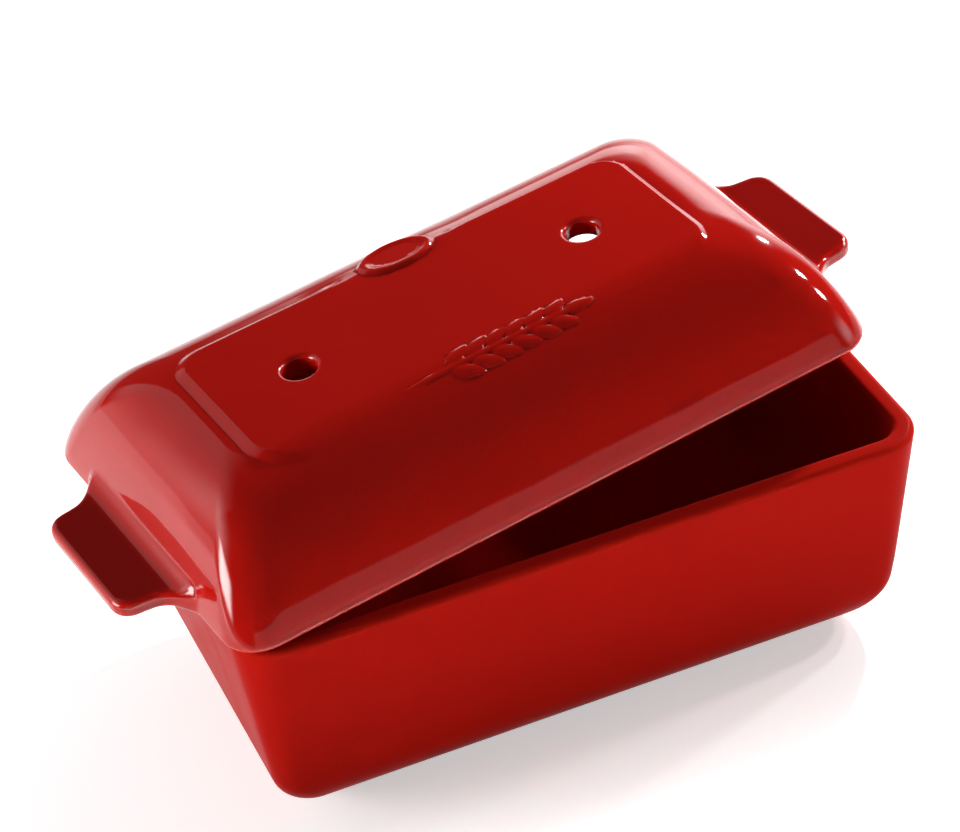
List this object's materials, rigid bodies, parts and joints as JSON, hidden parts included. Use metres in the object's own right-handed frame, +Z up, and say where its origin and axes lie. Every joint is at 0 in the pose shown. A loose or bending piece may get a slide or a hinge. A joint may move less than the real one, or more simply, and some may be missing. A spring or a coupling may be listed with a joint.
{
  "type": "covered loaf baker",
  "caption": "Deep tapered ceramic loaf pan with a loose domed lid that has end handles and steam vents, shown with the lid set askew.",
  "frame": {"origin": "middle of the pan's flat underside, where it stands on the table", "axes": "+X along the pan's length, +Z up out of the pan's mouth, +Y towards the side whose shoulder carries the lid's plain oval boss"},
  "size_m": [0.282, 0.1663, 0.1392],
  "materials": {
    "pan_glaze": "glossy red glaze over cast stoneware",
    "lid_glaze": "glossy red glaze over cast stoneware"
  },
  "bodies": {
    "base": {"base": "pan_glaze"},
    "lid": {"lid": "lid_glaze"}
  },
  "joints": [
    {"name": "lid_swing", "type": "hinge", "parent": "base", "child": "lid", "pos_m": [-0.12, -0.0669, 0.0836], "axis": [-0.0492, -0.5299, 0.8466], "range_deg": [-8.93, 42]}
  ]
}
